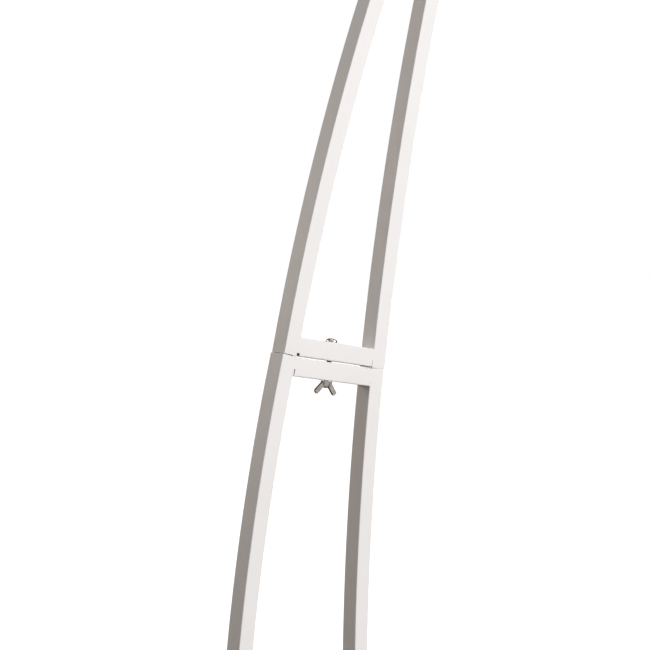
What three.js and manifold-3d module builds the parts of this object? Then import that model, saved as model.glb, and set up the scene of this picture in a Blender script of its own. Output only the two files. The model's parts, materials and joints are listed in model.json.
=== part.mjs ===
// Arc floor lamp: a tapering mast of two bent square-tube rails, bolted together at mid-height, with a bent
// arm and a swivelling, tilting dome shade. Millimetres, +Z up. The mast and the arm lie in the XZ plane, and
// the arm reaches toward +X. The origin is on the floor, plumb below the bolt that joins the mast's halves.

import * as THREE from "three";
import { mergeVertices } from "three/addons/utils/BufferGeometryUtils.js";
import Module from "manifold-3d";

const wasm = await Module();
wasm.setup();

const { degToRad } = THREE.MathUtils;

// ---- Driving dimensions -------------------------------------------------------------------------------

const GAP = 0.3; // kept between neighbouring pieces
const LAP = 1; // how far shapes that form one piece run into each other
const TUBE = { side: 20, wall: 1.5, corner: 1.2 };
const PEG = 15; // square pegs that enter a tube's bore

const BASE = { length: 450, width: 300, thickness: 10, corner: 24, padThickness: 3, padInset: 5 };
const FLANGE = { length: 260, width: 70, thickness: 4, corner: 8, boltSpacingX: 140, boltSpacingY: 46 };

// The joint's plane falls toward +X. Offsets run along it from the bolt, and leans are from the vertical.
const JOINT = { height: 900, tilt: degToRad(10.2), gap: 1.6, endGap: 0.6 };
const LOWER = {
  outer: { offset: -67.7, rise: 0.8, lean: degToRad(15.9), radius: 2107 },
  inner: { offset: 66.7, rise: 0, lean: degToRad(8.0), radius: 2637 },
};
const UPPER = {
  outer: { offset: -66.4, rise: 0.8, lean: degToRad(14.1), radius: 2436 },
  inner: { offset: 67.6, rise: 0, lean: degToRad(8.0), radius: 3142 },
};
const UPPER_LENGTH = 670; // along the outer rail, from the joint to the nose
const NOSE = { height: 46, pegLength: 24 };
const ARM = { radius: 340, length: 460 };

const M6 = { shank: 3, hole: 3.3, hexRadius: 5.7, headHeight: 4, washerRadius: 6.2, washerThickness: 1.6 };
const JOINT_BOLT = { length: 50, tip: 0.6, headRadius: 6.3, headSide: 1.4, headHeight: 4.3 };
const WING_NUT = {
  hub: { top: 6.4, bottom: 4.8, height: 6, rim: 1.2 },
  wing: { reach: 16.5, slope: degToRad(46), width: 5.4, corner: 1.5, thickness: 2.6 },
};
const SCREW = { shank: 2, hole: 2.3, length: 6, headRadius: 4, headSide: 0.5, headHeight: 2.4 };
const SCREW_FROM_END = 12; // from a tube's end

const GLAND = { height: 70, hole: 5.3, lip: 7.5, bore: 3.3, lipThickness: 1.6 };
const LEAD = { radius: 3, channel: 4, sides: 8, steps: 56, belowGland: 12, besideJoint: 60 };

const FITTING = { collar: 14, collarInBoss: 4, bossRadius: 12, bossHeight: 30, bore: 4.8 };
const STEM = { radius: 4.5, shoulderRadius: 10, shoulder: 3 };
const STEM_CAP = { radius: 8, side: 4, height: 9, roof: 2 };
const YOKE = { length: 22, width: 22, height: 26, slot: 10, slotFromTop: 3, pivotFromTop: 14 };
const TILT_BOLT = { headRadius: 5, headHeight: 5 };
const TILT_KNOB = { radius: 13, lobe: 2.5, lobes: 6, height: 13, bevel: 1.5, foot: 3, footRadius: 6.5, bore: 9 };

// The head hangs below its tilt axis: heights are measured down from that axis.
const CUP = { top: 28, bottom: 86, radius: 23, wall: 2, crown: 5, lugWidth: 20, lugThickness: 9 };
const HOLDER = { top: 40, bottom: 112, radius: 19.5, chamfer: 3, bore: 14, boreDepth: 32 };
const SHADE = { top: 87, rise: 132, radius: 130, neck: 28, hole: 20, wall: 1.2, crownWall: 1.6 };
const RING = { radius: 26, height: 8 };
const BULB = {
  cap: { top: 84, radius: 13, length: 27, wall: 1 },
  globe: { radius: 30, sweep: degToRad(125), neckRadius: 12, neckLength: 12, bottom: 190, wall: 1.2 },
};
const SWITCH_KNOB = { radius: 6, height: 13, shank: 2.4, depth: 56, flutes: 12, fluteDepth: 0.6 };

const FINISHES = {
  powderCoat: { color: 0xf1efee, roughness: 0.5, metalness: 0 },
  blackRubber: { color: 0x1b1b1c, roughness: 0.85, metalness: 0 },
  zinc: { color: 0xb9b6b0, roughness: 0.35, metalness: 1 },
  whitePlastic: { color: 0xeceae6, roughness: 0.4, metalness: 0 },
  blackPlastic: { color: 0x232323, roughness: 0.5, metalness: 0 },
  opalGlass: { color: 0xf8f5ec, roughness: 0.2, metalness: 0 },
  nickel: { color: 0xc9c6be, roughness: 0.3, metalness: 1 },
};

// ---- Shape tools --------------------------------------------------------------------------------------

function solidOf(geometry) {
  const bare = geometry.clone();
  bare.deleteAttribute("normal");
  bare.deleteAttribute("uv");
  const merged = mergeVertices(bare, 1e-4);
  return new wasm.Manifold(
    new wasm.Mesh({
      numProp: 3,
      vertProperties: Float32Array.from(merged.attributes.position.array),
      triVerts: Uint32Array.from(merged.index.array),
    }),
  );
}

function geometryOf(solid) {
  const mesh = solid.getMesh();
  const geometry = new THREE.BufferGeometry();
  geometry.setAttribute("position", new THREE.BufferAttribute(mesh.vertProperties, 3));
  geometry.setIndex(new THREE.BufferAttribute(mesh.triVerts, 1));
  geometry.computeVertexNormals();
  return geometry;
}

function join(...geometries) {
  return geometryOf(geometries.map(solidOf).reduce((whole, piece) => whole.add(piece)));
}

function cut(geometry, ...tools) {
  return geometryOf(tools.map(solidOf).reduce((rest, tool) => rest.subtract(tool), solidOf(geometry)));
}

// A solid turned about Z from [radius, height] points that start and end on the axis or close on themselves.
function revolve(profile, segments = 24) {
  const points = profile.map(([radius, height]) => new THREE.Vector2(radius, height));
  return new THREE.LatheGeometry(points, segments).rotateX(Math.PI / 2);
}

function ring(outer, inner, bottom, top, segments = 20) {
  return revolve([[inner, bottom], [outer, bottom], [outer, top], [inner, top], [inner, bottom]], segments);
}

// A cylinder on the Z axis, and the same along Y.
function rod(radius, bottom, top, segments = 20) {
  return new THREE.CylinderGeometry(radius, radius, top - bottom, segments)
    .rotateX(Math.PI / 2)
    .translate(0, 0, (bottom + top) / 2);
}

function rodAlongY(radius, from, to, segments = 20) {
  return new THREE.CylinderGeometry(radius, radius, to - from, segments).translate(0, (from + to) / 2, 0);
}

function box(length, width, bottom, top) {
  return new THREE.BoxGeometry(length, width, top - bottom).translate(0, 0, (bottom + top) / 2);
}

// Points of a quarter ellipse from its rim to its top, as [radius, height] steps.
function dome(radius, height, from = 0, steps = 6) {
  return Array.from({ length: steps + 1 }, (_, i) => {
    const angle = (i / steps) * (Math.PI / 2);
    return [radius * Math.cos(angle), from + height * Math.sin(angle)];
  });
}

function roundedRectangle(length, width, corner) {
  const [x, y] = [length / 2, width / 2];
  const shape = new THREE.Shape();
  shape.moveTo(x, -y + corner);
  shape.absarc(x - corner, y - corner, corner, 0, Math.PI / 2);
  shape.absarc(-x + corner, y - corner, corner, Math.PI / 2, Math.PI);
  shape.absarc(-x + corner, -y + corner, corner, Math.PI, 1.5 * Math.PI);
  shape.absarc(x - corner, -y + corner, corner, 1.5 * Math.PI, 2 * Math.PI);
  shape.closePath();
  return shape;
}

function tubeSection() {
  const section = roundedRectangle(TUBE.side, TUBE.side, TUBE.corner);
  const bore = TUBE.side / 2 - TUBE.wall;
  const corners = [[-1, -1], [-1, 1], [1, 1], [1, -1]];
  section.holes.push(new THREE.Path(corners.map(([x, y]) => new THREE.Vector2(x * bore, y * bore))));
  return section;
}

function tubeAlong(curve, steps) {
  return new THREE.ExtrudeGeometry(tubeSection(), { steps, extrudePath: curve, curveSegments: 1 });
}

function straightTube(length) {
  return new THREE.ExtrudeGeometry(tubeSection(), { depth: length, bevelEnabled: false, curveSegments: 1 })
    .translate(0, 0, -length / 2)
    .rotateY(Math.PI / 2);
}

// A flat plate from the height given upward, with round holes.
function plate(length, width, corner, bottom, thickness, holes = [], holeRadius = 0) {
  const shape = roundedRectangle(length, width, corner);
  for (const [x, y] of holes) {
    shape.holes.push(new THREE.Path().absarc(x, y, holeRadius, 0, 2 * Math.PI, true));
  }
  return new THREE.ExtrudeGeometry(shape, { depth: thickness, bevelEnabled: false, curveSegments: 5 })
    .translate(0, 0, bottom);
}

// ---- Bent tubes ---------------------------------------------------------------------------------------

// A line in the XZ plane that passes a point with a given lean and bends toward +X with a given radius.
// Below the height where it is upright it runs straight down. Distances run upward from the point.
class Bend {
  constructor(point, lean, radius) {
    this.lean = lean;
    this.radius = radius;
    this.centre = new THREE.Vector3(radius * Math.cos(lean), 0, -radius * Math.sin(lean)).add(point);
  }

  leanAt(distance) {
    return Math.max(0, this.lean + distance / this.radius);
  }

  pointAt(distance) {
    const lean = this.leanAt(distance);
    const straight = Math.min(0, this.lean + distance / this.radius) * this.radius;
    return new THREE.Vector3(
      this.centre.x - this.radius * Math.cos(lean),
      0,
      this.centre.z + this.radius * Math.sin(lean) + straight,
    );
  }

  // The distance, below the point, at which the line comes down to a height on its straight part.
  distanceToHeight(height) {
    return height - this.centre.z - this.lean * this.radius;
  }

  curve(from, to) {
    const curve = new THREE.Curve();
    curve.getPoint = (t) => this.pointAt(THREE.MathUtils.lerp(from, to, t));
    return curve;
  }
}

const BOLT_POINT = new THREE.Vector3(0, 0, JOINT.height);

function railBend({ offset, rise, lean, radius }) {
  const point = new THREE.Vector3(offset, 0, rise)
    .applyAxisAngle(new THREE.Vector3(0, 1, 0), JOINT.tilt)
    .add(BOLT_POINT);
  return new Bend(point, lean, radius);
}

const bends = {
  lowerOuter: railBend(LOWER.outer),
  lowerInner: railBend(LOWER.inner),
  upperOuter: railBend(UPPER.outer),
  upperInner: railBend(UPPER.inner),
};

const noseLean = bends.upperOuter.leanAt(UPPER_LENGTH);
const nosePoint = bends.upperOuter.pointAt(UPPER_LENGTH);
const noseAcross = new THREE.Vector3(Math.cos(noseLean), 0, -Math.sin(noseLean));

// The inner rail ends where its left face meets the line across the outer rail's end.
function innerRailLength() {
  const rail = bends.upperInner;
  const toCentre = new THREE.Vector3().subVectors(nosePoint, rail.centre);
  const along = toCentre.dot(noseAcross);
  const faceRadius = rail.radius + TUBE.side / 2;
  const step = -along - Math.sqrt(along * along - toCentre.lengthSq() + faceRadius * faceRadius);
  const corner = toCentre.addScaledVector(noseAcross, step);
  return (Math.asin(corner.z / faceRadius) - rail.lean) * rail.radius;
}

const upperInnerLength = innerRailLength();
const armStart = new THREE.Vector3(Math.sin(noseLean), 0, Math.cos(noseLean))
  .multiplyScalar(NOSE.height)
  .add(nosePoint);
const armBend = new Bend(armStart, noseLean, ARM.radius);
const armEndLean = armBend.leanAt(ARM.length);
const armEnd = armBend.pointAt(ARM.length);

// ---- Scene graph --------------------------------------------------------------------------------------

const lamp = new THREE.Group();

function add(parent, name, geometry, finish) {
  const mesh = new THREE.Mesh(geometry, new THREE.MeshStandardMaterial(FINISHES[finish]));
  mesh.name = name;
  parent.add(mesh);
  return mesh;
}

function groupAt(parent, position, turnAboutY = 0) {
  const group = new THREE.Group();
  group.position.copy(position);
  group.rotation.y = turnAboutY;
  parent.add(group);
  return group;
}

// A tool that cuts a screw's hole through a tube's +Y wall, at a distance along the tube's bend.
function screwHole(bend, distance) {
  const point = bend.pointAt(distance);
  return rodAlongY(SCREW.hole, 0, TUBE.side, 12).translate(point.x, 0, point.z);
}

// ---- Base ---------------------------------------------------------------------------------------------

const plateBottom = BASE.padThickness + GAP;
const plateTop = plateBottom + BASE.thickness;
const flangeBottom = plateTop + GAP;
const flangeTop = flangeBottom + FLANGE.thickness;
const footHeight = flangeTop + GAP;
const flangeX = (bends.lowerOuter.pointAt(-JOINT.height).x + bends.lowerInner.pointAt(-JOINT.height).x) / 2;

function flangeBoltPlaces() {
  const [dx, dy] = [FLANGE.boltSpacingX / 2, FLANGE.boltSpacingY / 2];
  return [[-dx, -dy], [dx, -dy], [-dx, dy], [dx, dy]];
}

function flangeBolt() {
  const headBottom = M6.washerThickness + GAP;
  const head = rod(M6.hexRadius, headBottom, headBottom + M6.headHeight, 6);
  const shankEnd = LAP - FLANGE.thickness - BASE.thickness;
  return join(head, rod(M6.shank, shankEnd, headBottom + LAP, 12));
}

function addBase() {
  const { length, width, corner, thickness, padInset, padThickness } = BASE;
  const pad = plate(length - 2 * padInset, width - 2 * padInset, corner - padInset, 0, padThickness);
  add(lamp, "floor_pad", pad, "blackRubber");

  const places = flangeBoltPlaces();
  const inPlate = places.map(([x, y]) => [x + flangeX, y]);
  const slab = plate(length, width, corner, plateBottom, thickness, inPlate, M6.hole);
  add(lamp, "base_plate", slab, "powderCoat");

  const flange = plate(FLANGE.length, FLANGE.width, FLANGE.corner, 0, FLANGE.thickness, places, M6.hole);
  const footing = groupAt(lamp, new THREE.Vector3(flangeX, 0, flangeBottom));
  add(footing, "foot_flange", flange, "powderCoat");

  places.forEach(([x, y], i) => {
    const place = groupAt(footing, new THREE.Vector3(x, y, FLANGE.thickness + GAP));
    const washer = ring(M6.washerRadius, M6.hole, 0, M6.washerThickness);
    add(place, `flange_washer_${i + 1}`, washer, "zinc");
    add(place, `flange_bolt_${i + 1}`, flangeBolt(), "zinc");
  });
}

// ---- Mast ---------------------------------------------------------------------------------------------

const halfEndGap = JOINT.endGap / 2;

function lowerRail(bend) {
  return tubeAlong(bend.curve(bend.distanceToHeight(footHeight), -halfEndGap), 20);
}

function addLowerRails() {
  const { lowerOuter, lowerInner } = bends;
  const outerX = lowerOuter.pointAt(-JOINT.height).x;
  const glandHole = rod(GLAND.hole, -TUBE.side, 0, 24)
    .rotateY(Math.PI / 2)
    .translate(outerX, 0, GLAND.height);
  add(lamp, "lower_outer_rail", cut(lowerRail(lowerOuter), glandHole), "powderCoat");
  add(lamp, "lower_inner_rail", lowerRail(lowerInner), "powderCoat");

  const face = TUBE.side / 2 + GAP;
  const { lip, bore, hole, lipThickness } = GLAND;
  const grip = hole - GAP;
  const inside = -TUBE.wall - 2 * GAP;
  const gland = revolve([
    [bore, inside],
    [grip, inside],
    [grip, 0],
    [lip, 0],
    [lip, lipThickness / 2],
    [lip - lipThickness / 2, lipThickness],
    [bore, lipThickness],
    [bore, inside],
  ]);
  const glandPlace = groupAt(lamp, new THREE.Vector3(outerX - face, 0, GLAND.height), -Math.PI / 2);
  add(glandPlace, "cable_gland", gland, "blackRubber");
}

function addUpperRails() {
  const { upperOuter, upperInner } = bends;
  const outerTop = UPPER_LENGTH - GAP;
  const innerTop = upperInnerLength - GAP;
  const outer = tubeAlong(upperOuter.curve(halfEndGap, outerTop), 18);
  const inner = tubeAlong(upperInner.curve(halfEndGap, innerTop), 18);
  const outerHole = screwHole(upperOuter, outerTop - SCREW_FROM_END);
  const innerHole = screwHole(upperInner, innerTop - SCREW_FROM_END);
  add(lamp, "upper_outer_rail", cut(outer, outerHole), "powderCoat");
  add(lamp, "upper_inner_rail", cut(inner, innerHole), "powderCoat");
}

// A crossbar spans its two rails, square at both ends, and just meets them at its top edge.
function crossbar({ outer, inner }, bottom) {
  const top = bottom + TUBE.side;
  const faceAt = (rail, side) =>
    rail.offset
    + (top - rail.rise) * Math.tan(rail.lean - JOINT.tilt)
    + (side * TUBE.side) / 2 / Math.cos(rail.lean - JOINT.tilt);
  const from = faceAt(outer, 1) + GAP;
  const to = faceAt(inner, -1) - GAP;
  const tube = straightTube(to - from).translate((from + to) / 2, 0, bottom + TUBE.side / 2);
  return cut(tube, rod(M6.hole, bottom - LAP, top + LAP));
}

// One wing is a bar that slopes down and outward from the hub's top edge, with two round corners at its tip.
function wingOutline() {
  const { hub, wing } = WING_NUT;
  const along = new THREE.Vector2(Math.cos(wing.slope), -Math.sin(wing.slope));
  const across = new THREE.Vector2(along.y, -along.x);
  const root = new THREE.Vector2(hub.top, -hub.rim);
  const length = (wing.reach - hub.top) / along.x;
  const at = (distance, depth) => {
    const point = root.clone().addScaledVector(along, distance).addScaledVector(across, depth);
    return [point.x, point.y];
  };
  const [lowX, lowY] = at(0, wing.width);
  const shape = new THREE.Shape();
  shape.moveTo(0, -hub.rim);
  shape.lineTo(hub.top, -hub.rim);
  shape.lineTo(...at(length - wing.corner, 0));
  shape.quadraticCurveTo(...at(length, 0), ...at(length, wing.corner));
  shape.lineTo(...at(length, wing.width - wing.corner));
  shape.quadraticCurveTo(...at(length, wing.width), ...at(length - wing.corner, wing.width));
  shape.lineTo(lowX, lowY);
  shape.lineTo(0, lowY);
  shape.closePath();
  return shape;
}

function wingNut() {
  const { hub, wing } = WING_NUT;
  const { top, bottom, height, rim } = hub;
  const body = revolve([[0, -height], [bottom, -height], [top, -rim], [top, 0], [0, 0]]);
  const blade = new THREE.ExtrudeGeometry(wingOutline(), {
    depth: wing.thickness,
    bevelEnabled: false,
    curveSegments: 4,
  })
    .translate(0, 0, -wing.thickness / 2)
    .rotateX(Math.PI / 2);
  const whole = join(body, blade, blade.clone().rotateZ(Math.PI));
  return cut(whole, rod(M6.hole, -height - LAP, LAP));
}

function jointBolt() {
  const { length, tip, headRadius, headSide, headHeight } = JOINT_BOLT;
  return revolve([
    [0, -length],
    [M6.shank - tip, -length],
    [M6.shank, -length + tip],
    [M6.shank, 0],
    [headRadius, 0],
    ...dome(headRadius, headHeight - headSide, headSide),
  ]);
}

function addJoint() {
  const joint = groupAt(lamp, BOLT_POINT, JOINT.tilt);
  const upperBottom = JOINT.gap / 2;
  const lowerBottom = -JOINT.gap / 2 - TUBE.side;
  add(joint, "lower_crossbar", crossbar(LOWER, lowerBottom), "powderCoat");
  add(joint, "upper_crossbar", crossbar(UPPER, upperBottom), "powderCoat");

  const bolt = add(joint, "joint_bolt", jointBolt(), "zinc");
  bolt.position.z = upperBottom + TUBE.side + GAP;
  const nut = add(joint, "joint_wing_nut", wingNut(), "zinc");
  nut.position.z = lowerBottom - GAP;
}

// ---- Nose and arm -------------------------------------------------------------------------------------

// The route of the lead inside the outer rail, the nose and the arm.
function leadRoute() {
  const start = bends.lowerOuter.distanceToHeight(GLAND.height - LEAD.belowGland);
  const end = ARM.length - NOSE.pegLength - 2 * LEAD.radius;
  const stops = (bend, from, to, count) =>
    Array.from({ length: count }, (_, i) => bend.pointAt(from + ((to - from) * i) / (count - 1)));
  return new THREE.CatmullRomCurve3([
    ...stops(bends.lowerOuter, start, -LEAD.besideJoint, 14),
    ...stops(bends.upperOuter, LEAD.besideJoint, UPPER_LENGTH, 12),
    ...stops(armBend, 0, end, 10),
  ]);
}

function leadGeometry(radius, steps) {
  const section = new THREE.Shape().absarc(0, 0, radius, 0, 2 * Math.PI);
  return new THREE.ExtrudeGeometry(section, {
    steps,
    extrudePath: leadRoute(),
    curveSegments: LEAD.sides / 2,
  });
}

function noseBlock() {
  const half = TUBE.side / 2;
  const innerLean = bends.upperInner.leanAt(upperInnerLength) - noseLean;
  const innerEnd = new THREE.Vector3().subVectors(bends.upperInner.pointAt(upperInnerLength), nosePoint);
  innerEnd.applyAxisAngle(new THREE.Vector3(0, 1, 0), -noseLean);
  const corner = (side) => [
    innerEnd.x + side * half * Math.cos(innerLean),
    innerEnd.z - side * half * Math.sin(innerLean),
  ];
  const outline = [[-half, 0], [half, 0], corner(-1), corner(1), [half, NOSE.height], [-half, NOSE.height]];
  const shape = new THREE.Shape(outline.map(([x, z]) => new THREE.Vector2(x, z)));
  const body = new THREE.ExtrudeGeometry(shape, { depth: TUBE.side, bevelEnabled: false })
    .translate(0, 0, -half)
    .rotateX(Math.PI / 2);
  const peg = () => box(PEG, PEG, -NOSE.pegLength, LAP);
  const outerPeg = peg();
  const innerPeg = peg().rotateY(innerLean).translate(innerEnd.x, 0, innerEnd.z);
  const armPeg = peg().rotateX(Math.PI).translate(0, 0, NOSE.height);
  return join(body, outerPeg, innerPeg, armPeg)
    .applyMatrix4(new THREE.Matrix4().makeRotationY(noseLean))
    .translate(nosePoint.x, 0, nosePoint.z);
}

function screw() {
  return revolve([
    [0, -SCREW.length],
    [SCREW.shank, -SCREW.length],
    [SCREW.shank, 0],
    [SCREW.headRadius, 0],
    ...dome(SCREW.headRadius, SCREW.headHeight - SCREW.headSide, SCREW.headSide, 4),
  ], 12).rotateX(-Math.PI / 2);
}

function addScrew(name, bend, distance) {
  const place = add(lamp, name, screw(), "zinc");
  place.position.copy(bend.pointAt(distance));
  place.position.y = TUBE.side / 2 + GAP;
}

function addNoseAndArm() {
  const places = [
    ["nose_screw_outer", bends.upperOuter, UPPER_LENGTH - GAP - SCREW_FROM_END],
    ["nose_screw_inner", bends.upperInner, upperInnerLength - GAP - SCREW_FROM_END],
    ["nose_screw_arm", armBend, GAP + SCREW_FROM_END],
  ];
  const holes = places.map(([, bend, distance]) => screwHole(bend, distance));
  const channel = leadGeometry(LEAD.channel, LEAD.steps);
  add(lamp, "nose_block", cut(noseBlock(), channel, ...holes), "powderCoat");
  places.forEach(([name, bend, distance]) => addScrew(name, bend, distance));

  const armTop = ARM.length - GAP;
  const tube = tubeAlong(armBend.curve(GAP, armTop), 24);
  const endScrew = armTop - SCREW_FROM_END;
  add(lamp, "arm", cut(tube, holes[2], screwHole(armBend, endScrew)), "powderCoat");
  addScrew("arm_end_screw", armBend, endScrew);
  add(lamp, "inner_lead", leadGeometry(LEAD.radius, LEAD.steps), "blackPlastic");
}

// ---- Arm end, swivel and head -------------------------------------------------------------------------

const armDirection = new THREE.Vector3(Math.sin(armEndLean), 0, Math.cos(armEndLean));
const bossDistance = FITTING.collar - FITTING.collarInBoss + FITTING.bossRadius;
const bossCentre = armEnd.clone().addScaledVector(armDirection, bossDistance);
const bossHalf = FITTING.bossHeight / 2;

function endFitting() {
  const { collar, bossRadius, bossHeight, bore } = FITTING;
  const slope = armEndLean - Math.PI / 2;
  const collarBlock = new THREE.BoxGeometry(collar, TUBE.side, TUBE.side).translate(collar / 2, 0, 0);
  const pegLength = NOSE.pegLength + LAP;
  const peg = new THREE.BoxGeometry(pegLength, PEG, PEG).translate(LAP - pegLength / 2, 0, 0);
  const lying = [collarBlock, peg].map((piece) => piece.rotateY(slope).translate(armEnd.x, 0, armEnd.z));
  const boss = rod(bossRadius, -bossHeight / 2, bossHeight / 2, 32).translate(bossCentre.x, 0, bossCentre.z);
  const hole = rod(bore, -bossHeight, bossHeight).translate(bossCentre.x, 0, bossCentre.z);
  return cut(join(...lying, boss), hole, screwHole(armBend, ARM.length - GAP - SCREW_FROM_END));
}

// The stem turns in the boss. Its yoke, below, holds the head's lug on the tilt bolt.
function swivelStem() {
  const { radius, shoulderRadius, shoulder } = STEM;
  const yokeTop = -bossHalf - GAP - shoulder;
  const yokeBottom = yokeTop - YOKE.height;
  const shaftTop = bossHalf + STEM_CAP.height - STEM_CAP.roof - LAP;
  const shaft = rod(radius, yokeTop - LAP, shaftTop);
  const disc = rod(shoulderRadius, yokeTop - LAP, yokeTop + shoulder, 32);
  const block = box(YOKE.length, YOKE.width, yokeBottom, yokeTop);
  const slot = box(YOKE.length + 2 * LAP, YOKE.slot, yokeBottom - LAP, yokeTop - YOKE.slotFromTop);
  const hole = rodAlongY(M6.hole, -YOKE.width, YOKE.width).translate(0, 0, yokeTop - YOKE.pivotFromTop);
  return cut(join(shaft, disc, block), slot, hole);
}

function stemCap() {
  const { radius, side, height, roof } = STEM_CAP;
  const bore = STEM.radius + GAP;
  return revolve([
    [0, height - roof],
    [bore, height - roof],
    [bore, 0],
    [radius, 0],
    ...dome(radius, height - side, side),
  ]);
}

function tiltBolt() {
  const halfYoke = YOKE.width / 2 + GAP;
  const { headRadius, headHeight } = TILT_BOLT;
  const head = rodAlongY(headRadius, -halfYoke - headHeight, -halfYoke);
  return join(head, rodAlongY(M6.shank, -halfYoke - LAP, halfYoke + TILT_KNOB.bore - LAP));
}

function lobedOutline({ radius, lobe, lobes }, pointsPerLobe = 6) {
  const count = lobes * pointsPerLobe;
  const points = Array.from({ length: count }, (_, i) => {
    const angle = (i / count) * 2 * Math.PI;
    const r = radius - lobe / 2 + (lobe / 2) * Math.cos(lobes * angle);
    return new THREE.Vector2(r * Math.cos(angle), r * Math.sin(angle));
  });
  return new THREE.Shape(points);
}

// The knob grows along +Y from its seat, with a blind hole for the tilt bolt.
function tiltKnob() {
  const { height, bevel, footRadius, foot, bore } = TILT_KNOB;
  const grip = new THREE.ExtrudeGeometry(lobedOutline(TILT_KNOB), {
    depth: height - foot - 2 * bevel,
    bevelThickness: bevel,
    bevelSize: bevel,
    bevelOffset: -bevel,
    bevelSegments: 2,
  }).translate(0, 0, foot + bevel);
  const whole = join(grip, rod(footRadius, 0, foot + LAP));
  return cut(whole, rod(M6.hole, -LAP, bore)).rotateX(-Math.PI / 2);
}

function socketCup() {
  const { top, bottom, radius, wall, crown, lugWidth, lugThickness } = CUP;
  const inner = radius - wall;
  const shell = revolve([
    [0, -top - wall],
    [inner - crown, -top - wall],
    [inner, -top - wall - crown],
    [inner, -bottom],
    [radius, -bottom],
    [radius, -top - crown],
    [radius - crown / 3, -top - crown / 3],
    [radius - crown, -top],
    [0, -top],
  ], 32);
  const lug = join(
    box(lugWidth, lugThickness, -top - LAP, 0),
    rodAlongY(lugWidth / 2, -lugThickness / 2, lugThickness / 2, 32),
  );
  const pivotHole = rodAlongY(M6.hole, -lugThickness, lugThickness);
  const switchHole = rodAlongY(SWITCH_KNOB.shank + GAP, -radius - LAP, 0).translate(0, 0, -SWITCH_KNOB.depth);
  return cut(join(shell, lug), pivotHole, switchHole);
}

function lampHolder() {
  const { top, bottom, radius, chamfer, bore, boreDepth } = HOLDER;
  return revolve([
    [0, -bottom + boreDepth],
    [bore, -bottom + boreDepth],
    [bore, -bottom],
    [radius, -bottom],
    [radius, -top - chamfer],
    [radius - chamfer, -top],
    [0, -top],
  ]);
}

// A quarter ellipse from the crown down to the mouth, as [radius, height] steps.
function domeWall(crownRadius, mouthRadius, crownHeight, mouthHeight, steps = 10) {
  return Array.from({ length: steps + 1 }, (_, i) => {
    const angle = (i / steps) * (Math.PI / 2);
    const drop = (crownHeight - mouthHeight) * (1 - Math.cos(angle));
    return [crownRadius + (mouthRadius - crownRadius) * Math.sin(angle), crownHeight - drop];
  });
}

// A spun dome whose flat crown is clamped round the lamp holder.
function shade() {
  const { top, rise, radius, neck, hole, wall, crownWall } = SHADE;
  const mouth = -top - rise;
  const inside = domeWall(neck - wall, radius - wall, -top - crownWall, mouth);
  const outside = domeWall(neck, radius, -top, mouth).reverse();
  return revolve([[hole, -top], [hole, -top - crownWall], ...inside, ...outside, [hole, -top]], 36);
}

function shadeRing() {
  const top = SHADE.top + SHADE.crownWall + GAP;
  return ring(RING.radius, HOLDER.radius + GAP, -top - RING.height, -top, 32);
}

function bulbCap() {
  const { top, radius, length, wall } = BULB.cap;
  const bottom = -top - length;
  return revolve([
    [0, -top - wall],
    [radius - wall, -top - wall],
    [radius - wall, bottom],
    [radius, bottom],
    [radius, -top],
    [0, -top],
  ]);
}

// A blown globe, open at its neck.
function bulbGlobe() {
  const { radius, sweep, neckRadius, neckLength, bottom, wall } = BULB.globe;
  const neckTop = -BULB.cap.top - BULB.cap.length - GAP;
  const neckBottom = neckTop - neckLength;
  const steps = 10;
  const arc = (size) =>
    Array.from({ length: steps }, (_, i) => {
      const angle = ((i + 1) / steps) * sweep - Math.PI / 2;
      return [size * Math.cos(angle), radius - bottom + size * Math.sin(angle)];
    });
  const outside = [[0, -bottom], ...arc(radius), [neckRadius, neckBottom], [neckRadius, neckTop]];
  const bore = neckRadius - wall;
  const inside = [[bore, neckTop], [bore, neckBottom], ...arc(radius - wall).reverse(), [0, wall - bottom]];
  return revolve([...outside, ...inside], 28);
}

function switchKnob() {
  const { radius, height, shank, flutes, fluteDepth } = SWITCH_KNOB;
  const count = flutes * 2;
  const outline = Array.from({ length: count }, (_, i) => {
    const r = i % 2 ? radius : radius - fluteDepth;
    const angle = (i / count) * 2 * Math.PI;
    return new THREE.Vector2(r * Math.cos(angle), r * Math.sin(angle));
  });
  const grip = new THREE.ExtrudeGeometry(new THREE.Shape(outline), { depth: height, bevelEnabled: false });
  return join(grip, rod(shank, -CUP.wall - 2 * GAP, LAP, 16)).rotateX(Math.PI / 2);
}

function addHead() {
  add(lamp, "arm_end_fitting", endFitting(), "powderCoat");
  const swivel = groupAt(lamp, bossCentre);
  add(swivel, "swivel_stem", swivelStem(), "powderCoat");
  add(swivel, "stem_cap", stemCap(), "zinc").position.z = bossHalf + GAP;

  const pivot = -bossHalf - GAP - STEM.shoulder - YOKE.pivotFromTop;
  const tilt = groupAt(swivel, new THREE.Vector3(0, 0, pivot));
  add(tilt, "tilt_bolt", tiltBolt(), "zinc");
  add(tilt, "tilt_knob", tiltKnob(), "blackPlastic").position.y = YOKE.width / 2 + GAP;
  add(tilt, "socket_cup", socketCup(), "powderCoat");
  add(tilt, "lamp_holder", lampHolder(), "whitePlastic");
  add(tilt, "shade", shade(), "powderCoat");
  add(tilt, "shade_ring", shadeRing(), "whitePlastic");
  add(tilt, "bulb_cap", bulbCap(), "nickel");
  add(tilt, "bulb_globe", bulbGlobe(), "opalGlass");
  const knob = add(tilt, "switch_knob", switchKnob(), "blackPlastic");
  knob.position.set(0, -CUP.radius - GAP, -SWITCH_KNOB.depth);
}

addBase();
addLowerRails();
addUpperRails();
addJoint();
addNoseAndArm();
addHead();

export default lamp;
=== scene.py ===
"""Arc floor lamp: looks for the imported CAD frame.

Metres, +Z up, the lamp's mast and arm in the XZ plane.
"""

import json
import math
from collections import namedtuple

import bmesh
import bpy
from mathutils import Matrix, Vector

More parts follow.
